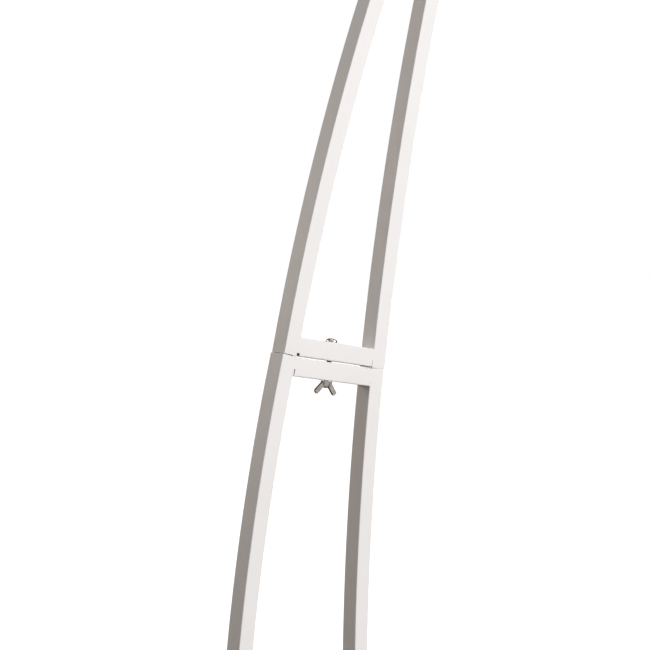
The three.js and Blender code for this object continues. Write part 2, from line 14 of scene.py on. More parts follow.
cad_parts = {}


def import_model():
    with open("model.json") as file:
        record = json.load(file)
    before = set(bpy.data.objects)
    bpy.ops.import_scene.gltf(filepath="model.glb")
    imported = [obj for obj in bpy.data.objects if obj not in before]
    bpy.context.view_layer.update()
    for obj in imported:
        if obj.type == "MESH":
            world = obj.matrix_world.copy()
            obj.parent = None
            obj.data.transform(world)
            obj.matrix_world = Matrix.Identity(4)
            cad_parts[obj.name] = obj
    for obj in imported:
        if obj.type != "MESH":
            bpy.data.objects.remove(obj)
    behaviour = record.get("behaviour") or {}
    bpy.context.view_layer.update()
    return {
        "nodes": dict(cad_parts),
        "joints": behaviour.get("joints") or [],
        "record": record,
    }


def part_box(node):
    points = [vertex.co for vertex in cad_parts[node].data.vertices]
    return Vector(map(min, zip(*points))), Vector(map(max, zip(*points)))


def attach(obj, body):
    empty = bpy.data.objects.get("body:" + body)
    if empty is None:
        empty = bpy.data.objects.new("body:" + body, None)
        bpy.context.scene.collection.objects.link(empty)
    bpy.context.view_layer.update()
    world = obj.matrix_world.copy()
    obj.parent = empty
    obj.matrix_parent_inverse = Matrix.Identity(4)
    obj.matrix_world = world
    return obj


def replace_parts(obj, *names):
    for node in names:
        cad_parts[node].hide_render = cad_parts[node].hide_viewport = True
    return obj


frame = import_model()
NODES = frame["nodes"]
JOINTS = {joint["name"]: joint for joint in frame["joints"]}
BODY_OF = {
    node: body
    for body, members in frame["record"]["behaviour"]["bodies"].items()
    for node in members
}
SLOT_OF = {row["node"]: row["material_slot"] for row in frame["record"]["subparts"]}

JOINT_POINT = Vector(JOINTS["wing_nut_turn"]["pos_m"])
JOINT_AXIS = Vector(JOINTS["wing_nut_turn"]["axis"]).normalized()
JOINT_ALONG = Vector((JOINT_AXIS.z, 0, -JOINT_AXIS.x))
X = Vector((1, 0, 0))
Y = Vector((0, 1, 0))
Z = Vector((0, 0, 1))

MM = 0.001
TAU = 2 * math.pi

# ---- Driving values ------------------------------------------------------------------------------------

TUBE_SIDE = 20 * MM
TUBE_CORNER = 1.2 * MM
TUBE_WALL = 1.5 * MM
EDGE_ROUND = 0.3 * MM  # deburred edges
CLEARANCE = 0.3 * MM  # between neighbouring CAD nodes
GLAND_HOLE = 5.3 * MM  # radius, in the rail's wall

# A thread's outer radius, the most of the shank that it covers, its pitch and its depth
Thread = namedtuple("Thread", "radius length pitch depth")
M6_RADIUS = 3 * MM
M6_PITCH = 1 * MM
JOINT_THREAD = Thread(M6_RADIUS, 32 * MM, M6_PITCH, 0.6 * MM)
SCREW_THREAD = Thread(2 * MM, 5 * MM, 0.7 * MM, 0.35 * MM)
LAMP_CAP_THREAD = Thread(13 * MM, 27 * MM, 3.6 * MM, 0.9 * MM)
THREAD_ROWS = 8  # rings of points in each turn of a thread

# A cross recess's reach from the middle, half the width of its arms, and its depth
Recess = namedtuple("Recess", "reach width depth")
JOINT_RECESS = Recess(2.9 * MM, 0.7 * MM, 2.0 * MM)
SCREW_RECESS = Recess(2.1 * MM, 0.45 * MM, 1.3 * MM)

# A hexagon head's height, its washer face's height and the washer face's share of the width across flats
HEX_HEAD = 4 * MM
HEX_WASHER_FACE = 0.25 * MM
HEX_FACE_SHARE = 0.95
HEX_TIP = 0.6 * MM  # chamfer at the bolt's end
HEX_PLAIN_SHANK = 2 * MM  # under the head
HEX_THREAD_DEPTH = 0.55 * MM

RIM_ROLL = 1.7 * MM  # radius of the shade's rolled edge
RIM_INSET = 0.6 * MM  # from the shade's outside to the middle of the roll
RIM_SIDES = 16
RING_FLUTES = 36
RING_FLUTE_DEPTH = 0.6 * MM

# The crossbars' ground welds: how far they lap over the bar and the rail, and how proud they stand
WELD_ON_BAR = 0.8 * MM
WELD_ON_RAIL = TUBE_CORNER + 0.2 * MM
WELD_PROUD = 0.02 * MM
DRAIN_HEIGHT = 3.2 * MM
DRAIN_DEPTH = 6 * MM  # from the front

BAR_BEAD = 1.7 * MM  # radii of the weld beads
FOOT_BEAD = 2.1 * MM
BEAD_STEP = 0.5 * MM
BEAD_RIPPLE = 1.7 * MM  # from one ripple to the next
BEAD_SWELL = 0.16  # share of a bead's radius that the ripples take
BEAD_TAPER = 0.25  # power that rounds off a bead's ends
BEAD_SIDES = 12

# How finely round shapes are stepped
ROUND_STEPS = 96
SHADE_STEPS = 160
CORNER_STEPS = 5
SWEEP_STEPS = 3  # between two of a bent tube's CAD stations
EASING_STEPS = 4  # between two points of a turned outline

# What counts as the same place or size when the CAD meshes are read
WELDING = 0.004 * MM
ON_PLANE = 0.002 * MM
NEARLY = 0.01 * MM
ROUGHLY = 0.05 * MM
FLAT_DEGREES = 0.4  # between faces that are one flat face
STRAIGHT_DEGREES = 0.3  # at an outline's point that isn't needed
CORNER_DEGREES = 26.0  # at an outline's point that is a corner

# The two sides of the joint, as directions along JOINT_ALONG
OUTER = -1
INNER = 1

CAMERA_FROM_JOINT = Vector((-1.2343, -1.2730, 0.1941))
CAMERA_TURN = math.radians(-43.976)
CAMERA_DOWN = math.radians(4.976)
CAMERA_LENS = 91.28  # on the default 36 mm sensor

# ---- Materials -----------------------------------------------------------------------------------------

NOISE_MIDDLE = (0.3, 0.7)  # where most of a noise's values lie
COAT_LIGHT = (0.845, 0.845, 0.845)
COAT_DARK = (0.825, 0.818, 0.812)


class Paint:
    """A new node material, with short ways to add the nodes that its recipe needs."""

    def __init__(self, name):
        self.material = bpy.data.materials.new(name)
        self.material.use_nodes = True
        self.nodes = self.material.node_tree.nodes
        self.links = self.material.node_tree.links
        self.shader = self.nodes["Principled BSDF"]
        self.place = self.nodes.new("ShaderNodeTexCoord").outputs["Object"]

    def set(self, **values):
        """Sets the shader's own sockets, each by its name with _ for a space."""
        for name, value in values.items():
            self.shader.inputs[name.replace("_", " ")].default_value = value
        return self

    def noise(self, scale, detail, roughness=0.5):
        node = self.nodes.new("ShaderNodeTexNoise")
        node.inputs["Scale"].default_value = scale
        node.inputs["Detail"].default_value = detail
        node.inputs["Roughness"].default_value = roughness
        self.links.new(self.place, node.inputs["Vector"])
        return node.outputs["Fac"]

    def spread(self, value, low_out, high_out):
        """Spreads the middle of a noise over the range between two values."""
        node = self.nodes.new("ShaderNodeMapRange")
        node.inputs["From Min"].default_value, node.inputs["From Max"].default_value = NOISE_MIDDLE
        node.inputs["To Min"].default_value = low_out
        node.inputs["To Max"].default_value = high_out
        self.links.new(value, node.inputs["Value"])
        return node.outputs["Result"]

    def between(self, value, low_colour, high_colour):
        node = self.nodes.new("ShaderNodeMix")
        node.data_type = "RGBA"
        node.inputs["A"].default_value = (*low_colour, 1)
        node.inputs["B"].default_value = (*high_colour, 1)
        self.links.new(value, node.inputs["Factor"])
        return node.outputs["Result"]

    def drive(self, socket, value):
        self.links.new(value, self.shader.inputs[socket])

    def tone(self, value, low_colour, high_colour):
        """Lets the base colour wander between two tones."""
        self.drive("Base Color", self.between(value, low_colour, high_colour))

    def gloss(self, value, low, high):
        """Lets the roughness wander between two values."""
        self.drive("Roughness", self.spread(value, low, high))

    def bump(self, value, distance, under=None):
        node = self.nodes.new("ShaderNodeBump")
        node.inputs["Distance"].default_value = distance
        self.links.new(value, node.inputs["Height"])
        if under is not None:
            self.links.new(under, node.inputs["Normal"])
        self.drive("Normal", node.outputs["Normal"])
        return node.outputs["Normal"]


def powder_coat(name, tint=(1, 1, 1)):
    """Satin white powder coat: a fine orange peel, faint clouding and a slightly uneven gloss."""
    paint = Paint(name).set(IOR=1.5)
    dark, light = ([c * t for c, t in zip(colour, tint)] for colour in (COAT_DARK, COAT_LIGHT))
    paint.tone(paint.spread(paint.noise(9, 3), 0, 1), dark, light)
    paint.gloss(paint.noise(60, 4), 0.42, 0.5)
    peel = paint.bump(paint.noise(650, 2), 0.02 * MM)
    paint.bump(paint.noise(2600, 1), 0.006 * MM, under=peel)
    return paint.material


def zinc(name, light=(0.53, 0.49, 0.45), dark=(0.27, 0.25, 0.225)):
    """Bright plate, of zinc unless other tones are given: darker blooms and fine tumbling marks."""
    paint = Paint(name).set(Metallic=1.0)
    paint.tone(paint.spread(paint.noise(320, 5, 0.6), 0, 1), light, dark)
    paint.gloss(paint.noise(900, 4), 0.10, 0.2)
    paint.bump(paint.noise(1400, 4, 0.6), 0.012 * MM)
    return paint.material


def bare_steel_with_painted_shade(name):
    """Mill-finish steel inside the tubes, where the powder doesn't reach, toned near black as painted
    shade for the dark inside of the bores.
    """
    paint = Paint(name).set(Metallic=1.0)
    # Painted shade: a near-black tone, darker than bare steel, stands in for the shade deep inside the
    # bores
    paint.tone(paint.noise(180, 5, 0.65), (0.05, 0.045, 0.04), (0.11, 0.10, 0.09))
    paint.gloss(paint.noise(500, 3), 0.5, 0.7)
    paint.bump(paint.noise(700, 4), 0.03 * MM)
    return paint.material


def black_rubber(name):
    """Matt black rubber with a coarse skin."""
    paint = Paint(name)
    paint.tone(paint.noise(70, 4), (0.014, 0.014, 0.014), (0.03, 0.029, 0.028))
    paint.gloss(paint.noise(200, 3), 0.7, 0.85)
    paint.bump(paint.noise(1500, 3), 0.05 * MM)
    return paint.material


def plastic(name, light, dark, gloss, grain):
    """Moulded plastic with a fine spark-eroded grain of a given depth."""
    paint = Paint(name).set(IOR=1.48)
    paint.tone(paint.noise(45, 3), dark, light)
    paint.gloss(paint.noise(300, 3), *gloss)
    paint.bump(paint.noise(2200, 3), grain)
    return paint.material


def opal_glass(name):
    """Milky glass that light goes a little way into."""
    paint = Paint(name).set(IOR=1.5)
    paint.set(Subsurface_Weight=0.35, Subsurface_Scale=0.01, Subsurface_Radius=(1.0, 0.85, 0.7))
    paint.tone(paint.noise(30, 2), (0.86, 0.845, 0.80), (0.89, 0.88, 0.85))
    paint.gloss(paint.noise(120, 2), 0.12, 0.2)
    paint.bump(paint.noise(90, 2), 0.02 * MM)
    return paint.material


MATERIALS = {
    "powder_coat": powder_coat("powder_coat_white"),
    "coated_aluminium": powder_coat("shade_coat_white", (0.88, 0.88, 0.88)),
    "zinc": zinc("zinc_plate"),
    "black_rubber": black_rubber("black_rubber"),
    "black_plastic": plastic(
        "black_plastic", (0.028, 0.028, 0.029), (0.016, 0.016, 0.017), gloss=(0.4, 0.52), grain=0.03 * MM
    ),
    "white_plastic": plastic(
        "white_plastic", (0.80, 0.79, 0.76), (0.76, 0.75, 0.72), gloss=(0.32, 0.42), grain=0.015 * MM
    ),
    "opal_glass": opal_glass("opal_glass"),
    "nickel": zinc("nickel_plate", (0.72, 0.70, 0.65), (0.60, 0.57, 0.51)),
}

# Partly the uncoated bore, partly painted shade: near-black steel for the dark inside of the tubes
BARE_STEEL_WITH_PAINTED_SHADE = bare_steel_with_painted_shade("bare_steel_with_painted_shade")

# ---- Mesh tools ----------------------------------------------------------------------------------------


def dressed(obj, slot, body, bevel=EDGE_ROUND, bevel_angle=55, smooth_angle=50, segments=2):
    """Gives a piece its shading, rounded edges, material and body."""
    mesh = obj.data
    if not mesh.materials:
        mesh.materials.append(MATERIALS[slot])
    mesh.polygons.foreach_set("use_smooth", [True] * len(mesh.polygons))
    mesh.set_sharp_from_angle(angle=math.radians(smooth_angle))
    if bevel:
        rounding = obj.modifiers.new("edges", "BEVEL")
        rounding.width = bevel
        rounding.segments = segments
        rounding.limit_method = "ANGLE"
        rounding.angle_limit = math.radians(bevel_angle)
    weighted = obj.modifiers.new("normals", "WEIGHTED_NORMAL")
    weighted.keep_sharp = True
    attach(obj, body)
    return obj


def stand_for(obj, node, **shading):
    """Dresses a piece in its CAD node's finish and shows it instead of that node."""
    dressed(obj, SLOT_OF[node], BODY_OF[node], **shading)
    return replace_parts(obj, node)


def new_object(name, bm):
    """Makes an object of a finished bmesh, with its faces turned outward."""
    bmesh.ops.recalc_face_normals(bm, faces=bm.faces)
    mesh = bpy.data.meshes.new(name)
    bm.to_mesh(mesh)
    bm.free()
    obj = bpy.data.objects.new(name, mesh)
    bpy.context.scene.collection.objects.link(obj)
    return obj


def welded(node):
    """The CAD node's surface as one closed bmesh."""
    bm = bmesh.new()
    bm.from_mesh(NODES[node].data)
    bmesh.ops.remove_doubles(bm, verts=bm.verts, dist=WELDING)
    return bm


def middle_of(node):
    """The middle of a CAD node's box."""
    low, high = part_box(node)
    return (Vector(low) + Vector(high)) / 2


def copied(node):
    """The CAD node's own shape as a new piece, with its flat faces whole."""
    bm = welded(node)
    bmesh.ops.dissolve_limit(bm, angle_limit=math.radians(FLAT_DEGREES), verts=bm.verts, edges=bm.edges)
    return new_object(node + "_fine", bm)


def refined(node, **shading):
    """The CAD node's own shape, with its edges rounded."""
    return stand_for(copied(node), node, **shading)


def loft(bm, rings, closed=False):
    """Skins a list of vertex rings, where a ring of one vertex is a pole."""
    pairs = list(zip(rings, rings[1:]))
    if closed:
        pairs.append((rings[-1], rings[0]))
    for low, high in pairs:
        count = max(len(low), len(high))
        for i in range(count):
            j = (i + 1) % count
            if len(low) == 1:
                bm.faces.new((low[0], high[j], high[i]))
            elif len(high) == 1:
                bm.faces.new((low[i], low[j], high[0]))
            else:
                bm.faces.new((low[i], low[j], high[j], high[i]))


def smooth_points(points, per_gap):
    """Catmull-Rom points through the given ones, with per_gap steps between each two."""
    ends = [2 * points[0] - points[1], *points, 2 * points[-1] - points[-2]]
    result = []
    for a, b, c, d in zip(ends, ends[1:], ends[2:], ends[3:]):
        squared = 2 * a - 5 * b + 4 * c - d
        cubed = 3 * b - a - 3 * c + d
        for step in range(per_gap):
            t = step / per_gap
            result.append(0.5 * (2 * b + (c - a) * t + squared * t * t + cubed * t**3))
    result.append(points[-1].copy())
    return result


# ---- Bent tubes ----------------------------------------------------------------------------------------


def tube_stations(node):
    """The centre points of a bent tube, in order, from the edges across its front face."""
    bm = welded(node)
    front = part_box(node)[0].y
    flat = TUBE_SIDE - 2 * TUBE_CORNER
    middles = []
    for edge in bm.edges:
        a, b = (vert.co for vert in edge.verts)
        on_face = abs(a.y - front) < NEARLY and abs(b.y - front) < NEARLY
        if on_face and abs((a - b).length - flat) < ROUGHLY:
            middles.append(Vector(((a.x + b.x) / 2, 0, (a.z + b.z) / 2)))
    bm.free()
    ordered = [min(middles, key=lambda p: p.z)]
    middles.remove(ordered[0])
    while middles:
        nearest = min(middles, key=lambda p: (p - ordered[-1]).length)
        middles.remove(nearest)
        ordered.append(nearest)
    return ordered


def square_ring(half, corner, steps=CORNER_STEPS):
    """Points of a rounded square as (across, depth) pairs, anticlockwise."""
    inset = half - corner
    centres = ((inset, inset), (-inset, inset), (-inset, -inset), (inset, -inset))
    ring = []
    for quarter, (across, depth) in enumerate(centres):
        for step in range(steps + 1):
            angle = (quarter + step / steps) * TAU / 4
            ring.append((across + corner * math.cos(angle), depth + corner * math.sin(angle)))
    return ring


def coated_outside(obj, slot):
    """Gives a tube its two finishes: the coat of its slot, and near-black bare steel, painted shade for
    the bore, on the faces marked 1.
    """
    obj.data.materials.append(MATERIALS[slot])
    obj.data.materials.append(BARE_STEEL_WITH_PAINTED_SHADE)
    return obj


def swept_tube(node):
    """A hollow square tube with round corners and deburred ends, along the CAD tube's centre line."""
    centres = smooth_points(tube_stations(node), SWEEP_STEPS)
    half = TUBE_SIDE / 2
    last = len(centres) - 1
    bm = bmesh.new()

    def ring_at(index, half_size, corner_size, slide=0.0):
        before = centres[max(0, index - 1)]
        after = centres[min(last, index + 1)]
        along = (after - before).normalized()
        across = Vector((along.z, 0, -along.x))
        middle = centres[index] + along * slide
        return [bm.verts.new(middle + across * u + Y * v) for u, v in square_ring(half_size, corner_size)]

    burr = EDGE_ROUND
    outside = [ring_at(0, half - burr, TUBE_CORNER - burr), ring_at(0, half, TUBE_CORNER, burr)]
    outside += [ring_at(i, half, TUBE_CORNER) for i in range(1, last)]
    outside += [ring_at(last, half, TUBE_CORNER, -burr), ring_at(last, half - burr, TUBE_CORNER - burr)]
    bore = half - TUBE_WALL
    inside = [ring_at(i, bore, burr) for i in range(last, -1, -1)]
    loft(bm, outside)
    loft(bm, [outside[-1], inside[0]])
    loft(bm, [inside[-1], outside[0]])
    painted = set(bm.faces)
    loft(bm, inside)
    # The bore's faces take the near-black bare steel: painted shade for the inside of the tube
    for face in bm.faces:
        face.material_index = 0 if face in painted else 1
    return coated_outside(new_object(node + "_fine", bm), SLOT_OF[node])


# ---- Turned pieces -------------------------------------------------------------------------------------


def section_of(node, point, along, side):
    """A turned node's outline on one side of its axis, as (radius, height) vectors.

    Also says whether the outline is a loop.
    """
    bm = welded(node)

    def bisected(normal, **options):
        geometry = bm.verts[:] + bm.edges[:] + bm.faces[:]
        plane = {"dist": ON_PLANE, "plane_co": point, "plane_no": normal}
        return bmesh.ops.bisect_plane(bm, geom=geometry, **plane, **options)["geom_cut"]

    bisected(side, clear_inner=True)
    beside = {}
    for item in bisected(along.cross(side)):
        if isinstance(item, bmesh.types.BMEdge):
            a, b = item.verts
            beside.setdefault(a, []).append(b)
            beside.setdefault(b, []).append(a)
    ends = [vert for vert, near in beside.items() if len(near) == 1]
    chain = [ends[0] if ends else next(iter(beside))]
    while onward := [vert for vert in beside[chain[-1]] if vert not in chain]:
        chain.append(onward[0])
    outline = [Vector(((v.co - point).dot(side), (v.co - point).dot(along))) for v in chain]
    bm.free()
    return outline, not ends


def turn_at(outline, index, loop):
    """How far an outline turns at one of its points, in degrees."""
    if not loop and index in (0, len(outline) - 1):
        return 180.0
    before = outline[index] - outline[index - 1]
    after = outline[(index + 1) % len(outline)] - outline[index]
    return math.degrees(before.angle(after))


def eased(outline, loop):
    """The outline without its needless points, and with its gently turning stretches made smooth."""
    outline = [p for i, p in enumerate(outline) if turn_at(outline, i, loop) > STRAIGHT_DEGREES]
    corners = [i for i in range(len(outline)) if turn_at(outline, i, loop) > CORNER_DEGREES]
    if loop:
        outline = outline[corners[0]:] + outline[:corners[0]] + [outline[corners[0]]]
        corners = [i - corners[0] for i in corners] + [len(outline) - 1]
    result = []
    for start, end in zip(corners, corners[1:]):
        run = outline[start:end + 1]
        result += (smooth_points(run, EASING_STEPS) if len(run) > 2 else run)[:-1]
    return result if loop else result + [outline[-1]]


def thread_rows(radius, low, high, pitch, depth):
    """Rows of a screw thread, as ring radii and heights, with a run-out at its upper end."""
    count = round((high - low) / pitch * THREAD_ROWS)
    made = []
    for i in range(count + 1):
        height = low + (high - low) * i / count
        here = depth * min(1.0, (high - height) / pitch)

        def wavy(turn, height=height, here=here):
            return radius - here * (0.5 + 0.5 * math.cos(TAU * (height / pitch - turn)))

        made.append((wavy, height))
    return made


def revolved(name, rings, loop, point, along, side, segments=ROUND_STEPS):
    """Turns (radius, height) rings about an axis. Either may be a function of the turn, from 0 to 1."""
    bm = bmesh.new()
    third = along.cross(side)
    made = []
    for radius, height in rings:
        if not callable(radius) and radius < NEARLY:
            made.append([bm.verts.new(point + along * height)])
            continue
        ring = []
        for step in range(segments):
            turn = step / segments
            reach = radius(turn) if callable(radius) else radius
            rise = height(turn) if callable(height) else height
            outward = side * math.cos(TAU * turn) + third * math.sin(TAU * turn)
            ring.append(bm.verts.new(point + along * rise + outward * reach))
        made.append(ring)
    loft(bm, made, closed=loop)
    return new_object(name, bm)


def turned(node, along=Z, side=-Y, point=None, thread=None, flutes=None, segments=ROUND_STEPS):
    """A turned CAD node again, finely stepped, with a thread or flutes where they are asked for."""
    point = point or middle_of(node)
    outline, loop = section_of(node, point, along, side)
    rings = [(p.x, p.y) for p in eased(outline, loop)]
    if thread:
        on_shank = [abs(reach - thread.radius) < NEARLY for reach, _ in rings]
        first = next(i for i in range(len(rings) - 1) if on_shank[i] and on_shank[i + 1])
        low, high = sorted((rings[first][1], rings[first + 1][1]))
        rows = thread_rows(thread.radius, low, min(high, low + thread.length), thread.pitch, thread.depth)
        upward = rings[first][1] < rings[first + 1][1]
        rings[first + 1:first + 1] = rows if upward else rows[::-1]
    if flutes:
        count, depth = flutes
        widest = max(radius for radius, _ in rings)

        def fluted(turn):
            return widest - depth * (0.5 - 0.5 * math.cos(TAU * count * turn))

        rings = [(fluted if widest - radius < NEARLY else radius, height) for radius, height in rings]
    return revolved(node + "_fine", rings, loop, point, along, side, segments)


def carved(obj, cutter):
    """Cuts one closed mesh out of another for good."""
    boolean = obj.modifiers.new("cut", "BOOLEAN")
    boolean.operation = "DIFFERENCE"
    boolean.solver = "EXACT"
    boolean.object = cutter
    bpy.context.view_layer.update()
    whole = obj.evaluated_get(bpy.context.evaluated_depsgraph_get())
    mesh = bpy.data.meshes.new_from_object(whole)
    obj.modifiers.clear()
    obj.data = mesh
    bpy.data.objects.remove(cutter)
    return obj


def bored(obj, point, along, radius, depth):
    """Cuts a round hole through a piece, to a depth on both sides of a point."""
    outline = [(0, -depth), (radius, -depth), (radius, depth), (0, depth)]
    return carved(obj, revolved("cutter", outline, False, point, along, Y))


def cross_cutter(point, along, side, recess):
    """A tapering cross that cuts a screw's recess down from a point on its head."""
    reach, width, depth = recess
    quarter = ((width, width), (width, reach), (-width, reach))
    above_head = (0.5 * depth, 1.3)  # the cross's height, and its scale there
    tip = (-depth, 0.4)
    third = along.cross(side)
    bm = bmesh.new()
    rings = []
    for height, scale in (above_head, tip):
        ring = []
        for turn in range(4):
            turning = Matrix.Rotation(turn * TAU / 4, 2)
            for corner in quarter:
                u, v = turning @ Vector(corner)
                ring.append(bm.verts.new(point + along * height + (side * u + third * v) * scale))
        rings.append(ring)
    loft(bm, rings)
    for ring in rings:
        bm.faces.new(ring)
    return new_object("cutter", bm)


def recessed(obj, along, side, recess):
    """Cuts a cross recess into the top of a turned head."""
    top = max(obj.data.vertices, key=lambda vert: vert.co.dot(along)).co.copy()
    return carved(obj, cross_cutter(top, along, side, recess))


# ---- Welds ---------------------------------------------------------------------------------------------


def even_steps(points, closed):
    """The points of a line, or of a closed loop, with short even steps filled in between them."""
    steps = []
    pairs = list(zip(points, points[1:])) + ([(points[-1], points[0])] if closed else [])
    for a, b in pairs:
        count = max(1, round((b - a).length / BEAD_STEP))
        steps += [a.lerp(b, i / count) for i in range(count)]
    return steps if closed else [*steps, points[-1]]


def bead(name, points, radius, up, closed=False):
    """A rippled weld bead along a line of points, lying on faces that up points out of."""
    steps = even_steps(points, closed)
    bm = bmesh.new()
    rings = []
    travelled = 0.0
    last = len(steps) - 1
    for i, centre in enumerate(steps):
        before = steps[i - 1] if closed or i else steps[0]
        after = steps[(i + 1) % len(steps)] if closed or i < last else steps[last]
        along = (after - before).normalized()
        across = along.cross(up).normalized()
        travelled += (centre - before).length
        swell = 1 - BEAD_SWELL + BEAD_SWELL * abs(math.sin(math.pi * travelled / BEAD_RIPPLE))
        if not closed:
            swell *= math.sin(math.pi * (i + 1) / (last + 2)) ** BEAD_TAPER
        ring = []
        for k in range(BEAD_SIDES):
            angle = TAU * k / BEAD_SIDES
            outward = across * math.cos(angle) + up * math.sin(angle)
            ring.append(bm.verts.new(centre + outward * radius * swell))
        rings.append(ring)
    loft(bm, rings, closed=closed)
    if not closed:
        bm.faces.new(rings[0])
        bm.faces.new(rings[-1])
    return dressed(new_object(name, bm), "powder_coat", "stand", bevel=0, smooth_angle=70)


def at_joint(along, height, depth=0.0):
    """A point from its distances along the joint's plane, out of it and toward +Y."""
    return JOINT_POINT + JOINT_ALONG * along + JOINT_AXIS * height + Y * depth


def joint_span(node):
    """The lowest and highest distances of a node along the joint's plane, and out of it."""
    places = [vert.co - JOINT_POINT for vert in NODES[node].data.vertices]
    along = [place.dot(JOINT_ALONG) for place in places]
    height = [place.dot(JOINT_AXIS) for place in places]
    return (min(along), max(along)), (min(height), max(height))


def bar_end(bar, rail, side):
    """Where a crossbar ends, where its rail's side face is at any height, and its bottom and top."""
    ends, (bottom, top) = joint_span(bar)
    end = ends[0] if side == OUTER else ends[1]
    near = sorted(tube_stations(rail), key=lambda p: (p - JOINT_POINT).length)[:2]
    direction = max(near, key=lambda p: p.z) - min(near, key=lambda p: p.z)
    slope = direction.dot(JOINT_ALONG) / direction.dot(JOINT_AXIS)

    def face_at(height):
        return end + side * CLEARANCE + (height - top) * slope

    return end, face_at, bottom, top


def joint_prism(name, outline, depths):
    """A plate whose outline lies in the joint's plane, between two depths."""
    bm = bmesh.new()
    rings = [[bm.verts.new(at_joint(u, h, depth)) for u, h in outline] for depth in depths]
    loft(bm, rings)
    for ring in rings:
        bm.faces.new(ring)
    return new_object(name, bm)


def weld_bar_end(bar, rail, side, open_below, slot=None):
    """Welds a crossbar's end to its rail, ground flush in front and with a bead behind.

    The front is left open up to a height: as a slot beside the rail, or wholly if no slot is given.
    """
    end, face_at, bottom, top = bar_end(bar, rail, side)
    on_bar = end - side * WELD_ON_BAR
    on_rail = side * WELD_ON_RAIL
    high = top - TUBE_CORNER / 2
    low = bottom + EDGE_ROUND
    notch = bottom + open_below
    front = -TUBE_SIDE / 2
    if slot is None:
        opening = [(on_bar, notch), (face_at(notch) + on_rail, notch)]
    else:
        opening = [
            (on_bar, low),
            (face_at(low) - side * slot, low),
            (face_at(notch) - side * slot, notch),
            (face_at(notch), notch),
            (face_at(low), low),
            (face_at(low) + on_rail, low),
        ]
    outline = [(on_bar, high), *opening, (face_at(high) + on_rail, high)]
    name = f"{bar}_weld_{'outer' if side == OUTER else 'inner'}"
    plate = joint_prism(name, outline, (front - WELD_PROUD, front + TUBE_WALL))
    dressed(plate, "powder_coat", "stand", bevel=0)

    line = [at_joint((end + face_at(h)) / 2, h, -front) for h in (bottom + TUBE_CORNER, high)]
    bead(name + "_bead", line, BAR_BEAD, Y)


def drained(pieces, bar, rail, side, into_bar, into_rail, height):
    """Cuts a small drain opening out of a crossbar's lower front corner and its rail's end."""
    end, face_at, bottom, _ = bar_end(bar, rail, side)
    far = end - side * into_bar
    near = face_at(bottom) + side * into_rail
    outline = [(near, bottom - MM), (far, bottom - MM), (far, bottom + height), (near, bottom + height)]
    front = -TUBE_SIDE / 2
    for piece in pieces:
        carved(piece, joint_prism("cutter", outline, (front - MM, front + DRAIN_DEPTH)))


def bare_inside_with_painted_shade(crossbar, node):
    """Leaves a crossbar's bore without its powder coat, in the near-black bare steel that paints the shade
    inside it.
    """
    _, (bottom, top) = joint_span(node)
    bore = TUBE_SIDE / 2 - TUBE_WALL + ROUGHLY
    for face in crossbar.data.polygons:
        height = (face.center - JOINT_POINT).dot(JOINT_AXIS) - (bottom + top) / 2
        face.material_index = int(abs(face.center.y) < bore and abs(height) < bore)


def weld_foot(rail):
    """A bead all round a rail's foot, on the flange."""
    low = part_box(rail)[0]
    centre = Vector((low.x + TUBE_SIDE / 2, 0, low.z))
    outline = square_ring(TUBE_SIDE / 2 + CLEARANCE, TUBE_CORNER, steps=3)
    bead(rail + "_foot_bead", [centre + X * u + Y * v for u, v in outline], FOOT_BEAD, Z, closed=True)


# ---- Lamp ----------------------------------------------------------------------------------------------


def hex_bolt(node):
    """A hexagon bolt: chamfered head, washer face and threaded shank."""
    low, high = (Vector(corner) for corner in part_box(node))
    to_corner = (high.y - low.y) / 2
    flat = to_corner * math.cos(TAU / 12)
    face = HEX_FACE_SHARE * flat
    under_head = high.z - HEX_HEAD
    above_washer_face = under_head + HEX_WASHER_FACE

    def hexagon(turn):
        return flat / math.cos((turn * TAU) % (TAU / 6) - TAU / 12)

    def chamfer(turn):
        return high.z - (hexagon(turn) - face) * math.tan(TAU / 12)

    threaded_to = under_head - HEX_PLAIN_SHANK
    rings = [(0, low.z), (M6_RADIUS - HEX_TIP, low.z)]
    rings += thread_rows(M6_RADIUS, low.z + HEX_TIP, threaded_to, M6_PITCH, HEX_THREAD_DEPTH)
    rings += [(M6_RADIUS, under_head), (face, under_head), (face, above_washer_face)]
    rings += [(hexagon, above_washer_face), (hexagon, chamfer), (face, high.z), (0, high.z)]
    axis_foot = Vector(((low.x + high.x) / 2, (low.y + high.y) / 2, 0))
    bolt = revolved(node + "_fine", rings, False, axis_foot, Z, Y, segments=72)
    return stand_for(bolt, node, bevel=0.15 * MM, smooth_angle=35, bevel_angle=35)


def rolled_rim(node):
    """The rolled edge that stiffens the shade's mouth."""
    low, high = (Vector(corner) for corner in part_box(node))
    reach = (high.x - low.x) / 2 - RIM_INSET
    level = low.z + RIM_ROLL
    angles = [TAU * step / RIM_SIDES for step in range(RIM_SIDES)]
    circle = [(reach + RIM_ROLL * math.cos(angle), level + RIM_ROLL * math.sin(angle)) for angle in angles]
    axis_foot = Vector(((low.x + high.x) / 2, 0, 0))
    rim = revolved(node + "_rolled_rim", circle, True, axis_foot, Z, -Y, SHADE_STEPS)
    return dressed(rim, SLOT_OF[node], BODY_OF[node], bevel=0)


BENT_TUBES = ("lower_outer_rail", "lower_inner_rail", "upper_outer_rail", "upper_inner_rail", "arm")
CROSSBARS = ("lower_crossbar", "upper_crossbar")
WASHERS = [f"flange_washer_{i}" for i in range(1, 5)]
FLANGE_BOLTS = [f"flange_bolt_{i}" for i in range(1, 5)]
SCREWS = ("nose_screw_outer", "nose_screw_inner", "nose_screw_arm", "arm_end_screw")

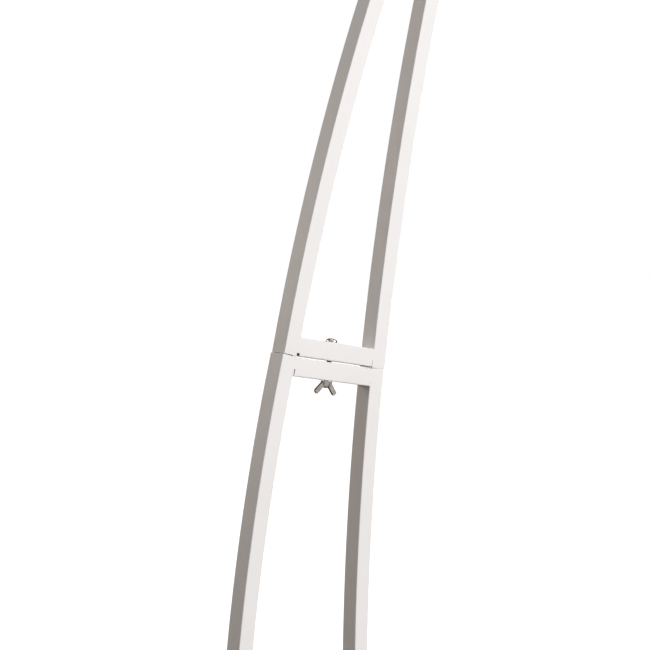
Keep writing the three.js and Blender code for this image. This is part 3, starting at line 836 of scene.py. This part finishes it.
# Tubes and crossbars, cut before they are dressed
tubes = {name: swept_tube(name) for name in BENT_TUBES}
crossbars = {name: coated_outside(copied(name), SLOT_OF[name]) for name in CROSSBARS}
drained(
    [crossbars["upper_crossbar"], tubes["upper_outer_rail"]],
    "upper_crossbar",
    "upper_outer_rail",
    OUTER,
    into_bar=0.6 * MM,
    into_rail=1.6 * MM,
    height=DRAIN_HEIGHT,
)
bored(tubes["lower_outer_rail"], middle_of("cable_gland"), X, GLAND_HOLE, depth=4 * MM)
for name, tube in tubes.items():
    stand_for(tube, name, bevel=0)
# Crossbar bores get the near-black bare steel, painted shade for their insides
for name, crossbar in crossbars.items():
    bare_inside_with_painted_shade(crossbar, name)
    stand_for(crossbar, name, bevel=0.2 * MM, bevel_angle=60)

# Turned pieces
for name in FLANGE_BOLTS:
    hex_bolt(name)
for name in (*WASHERS, "stem_cap", "lamp_holder"):
    stand_for(turned(name), name, bevel=0.2 * MM)
stand_for(turned("shade", segments=SHADE_STEPS), "shade")
rolled_rim("shade")
stand_for(turned("bulb_globe"), "bulb_globe", bevel=0)
stand_for(turned("bulb_cap", thread=LAMP_CAP_THREAD), "bulb_cap", bevel=0)
shade_ring = turned("shade_ring", flutes=(RING_FLUTES, RING_FLUTE_DEPTH), segments=8 * RING_FLUTES)
stand_for(shade_ring, "shade_ring", bevel=0.2 * MM)
stand_for(turned("cable_gland", along=X), "cable_gland", bevel=0.25 * MM)

# The joint's bolt and the screws, with cross recesses
joint_bolt = turned("joint_bolt", JOINT_AXIS, -Y, JOINT_POINT, thread=JOINT_THREAD, segments=64)
stand_for(recessed(joint_bolt, JOINT_AXIS, -Y, JOINT_RECESS), "joint_bolt", bevel=0.12 * MM)
for name in SCREWS:
    screw = turned(name, Y, Z, thread=SCREW_THREAD, segments=48)
    stand_for(recessed(screw, Y, Z, SCREW_RECESS), name, bevel=0.08 * MM)

# The CAD's own shapes, with their edges rounded
refined("joint_wing_nut", bevel=0.55 * MM, bevel_angle=35, segments=3)
refined("tilt_knob", bevel=0.4 * MM)
refined("switch_knob", bevel=0.25 * MM, bevel_angle=25)
refined("base_plate", bevel=0.8 * MM, segments=3)
refined("floor_pad", bevel=0.6 * MM)
for name in ("foot_flange", "nose_block", "arm_end_fitting", "swivel_stem", "tilt_bolt", "socket_cup"):
    refined(name, bevel=0.5 * MM)

# Welds
weld_bar_end("upper_crossbar", "upper_outer_rail", OUTER, open_below=DRAIN_HEIGHT)
weld_bar_end("upper_crossbar", "upper_inner_rail", INNER, open_below=7.5 * MM, slot=0.6 * MM)
weld_bar_end("lower_crossbar", "lower_outer_rail", OUTER, open_below=7.5 * MM, slot=1.4 * MM)
weld_bar_end("lower_crossbar", "lower_inner_rail", INNER, open_below=5 * MM, slot=0.3 * MM)
weld_foot("lower_outer_rail")
weld_foot("lower_inner_rail")

# The lead inside the tubes stays the CAD's own node
NODES["inner_lead"].data.materials.clear()
NODES["inner_lead"].data.materials.append(MATERIALS["black_plastic"])

# ---- Studio --------------------------------------------------------------------------------------------


def floor(radius, glow):
    """A pale floor disc that reads as plain white paper."""
    bm = bmesh.new()
    bmesh.ops.create_circle(bm, cap_ends=True, segments=ROUND_STEPS, radius=radius)
    disc = new_object("studio_floor", bm)
    paint = Paint("studio_floor").set(Roughness=0.9, Emission_Color=(1, 1, 1, 1), Emission_Strength=glow)
    paint.tone(paint.noise(0.6, 2), (0.93, 0.93, 0.93), (0.95, 0.95, 0.95))
    disc.data.materials.append(paint.material)
    disc.visible_diffuse = False
    disc.visible_glossy = False


def sun(name, direction, strength, softness_degrees):
    """A distant soft light that shines along a direction."""
    data = bpy.data.lights.new(name, "SUN")
    data.energy = strength
    data.angle = math.radians(softness_degrees)
    light = bpy.data.objects.new(name, data)
    light.rotation_euler = Vector(direction).to_track_quat("-Z", "Y").to_euler()
    bpy.context.scene.collection.objects.link(light)


def softbox(name, target, offset, power, size, colour, spread_degrees=180):
    """A square soft light at an offset from its target, aimed at that target."""
    data = bpy.data.lights.new(name, "AREA")
    data.spread = math.radians(spread_degrees)
    data.energy = power
    data.size = size
    data.color = colour
    light = bpy.data.objects.new(name, data)
    light.location = target + Vector(offset)
    light.rotation_euler = Vector(offset).to_track_quat("Z", "Y").to_euler()
    light.visible_camera = False
    bpy.context.scene.collection.objects.link(light)


def black_flag(name, offset, width, height):
    """A black card at an offset from the joint and facing it, seen only in shiny reflections."""
    bm = bmesh.new()
    bmesh.ops.create_grid(bm, x_segments=1, y_segments=1, size=0.5)
    card = new_object(name, bm)
    card.scale = (width, height, 1)
    card.location = JOINT_POINT + Vector(offset)
    card.rotation_euler = Vector(offset).to_track_quat("Z", "Y").to_euler()
    paint = Paint(name).set(Specular_IOR_Level=0.0)
    paint.tone(paint.noise(1, 2), (0.008, 0.008, 0.008), (0.012, 0.012, 0.012))
    card.data.materials.append(paint.material)
    card.visible_camera = False
    card.visible_diffuse = False
    card.visible_shadow = False
    card.visible_transmission = False


def world(fill, backdrop, mirrored):
    """An even fill on the lamp, a plain backdrop behind it, and the brightness that metal mirrors."""
    made = bpy.data.worlds.new("studio")
    made.use_nodes = True
    nodes = made.node_tree.nodes
    links = made.node_tree.links
    nodes.remove(nodes["Background"])
    rays = nodes.new("ShaderNodeLightPath").outputs

    def background(colour):
        node = nodes.new("ShaderNodeBackground")
        node.inputs["Color"].default_value = (*colour, 1)
        return node.outputs["Background"]

    def chosen(ray, for_others, for_these):
        mix = nodes.new("ShaderNodeMixShader")
        links.new(rays[ray], mix.inputs["Fac"])
        links.new(for_others, mix.inputs[1])
        links.new(for_these, mix.inputs[2])
        return mix.outputs["Shader"]

    around = chosen("Is Glossy Ray", background(fill), background(mirrored))
    seen = chosen("Is Camera Ray", around, background(backdrop))
    links.new(seen, nodes["World Output"].inputs["Surface"])
    bpy.context.scene.world = made


def camera():
    """The camera, placed and turned as the driving values say."""
    data = bpy.data.cameras.new("camera")
    data.lens = CAMERA_LENS
    data.clip_end = 60
    eye = bpy.data.objects.new("camera", data)
    eye.location = JOINT_POINT + CAMERA_FROM_JOINT
    eye.rotation_euler = (math.radians(90) - CAMERA_DOWN, 0, CAMERA_TURN)
    bpy.context.scene.collection.objects.link(eye)
    bpy.context.scene.camera = eye


floor(radius=14.0, glow=0.62)
softbox("key", JOINT_POINT, (2.0, -5.2, 1.2), power=314, size=3.0, colour=(1.0, 0.985, 0.985))
softbox("rear", JOINT_POINT, (-1.9, 1.7, 1.0), power=15, size=1.2, colour=(1.0, 0.90, 0.83))
softbox(
    "floor_bounce",
    middle_of("shade"),
    (0, 0, -1.45),
    power=3,
    size=0.5,
    colour=(1.0, 0.97, 0.95),
    spread_degrees=50,
)
sun("top", (0, 0, -1), strength=1.1, softness_degrees=40)
black_flag("flag_above", (0, 1.8, 2.4), width=4.0, height=3.0)
black_flag("flag_right", (3.4, -1.6, -0.2), width=1.2, height=3.0)
black_flag("flag_left", (-2.6, 2.6, -0.4), width=1.2, height=3.0)
black_flag("flag_behind", (-1.2, 2.2, -1.8), width=2.4, height=2.0)
black_flag("flag_below", (1.0, -0.4, -2.6), width=4.0, height=4.0)
world(fill=(0.127, 0.11, 0.098), backdrop=(1, 1, 1), mirrored=(0.8, 0.79, 0.78))
camera()
bpy.context.scene.view_settings.view_transform = "Standard"
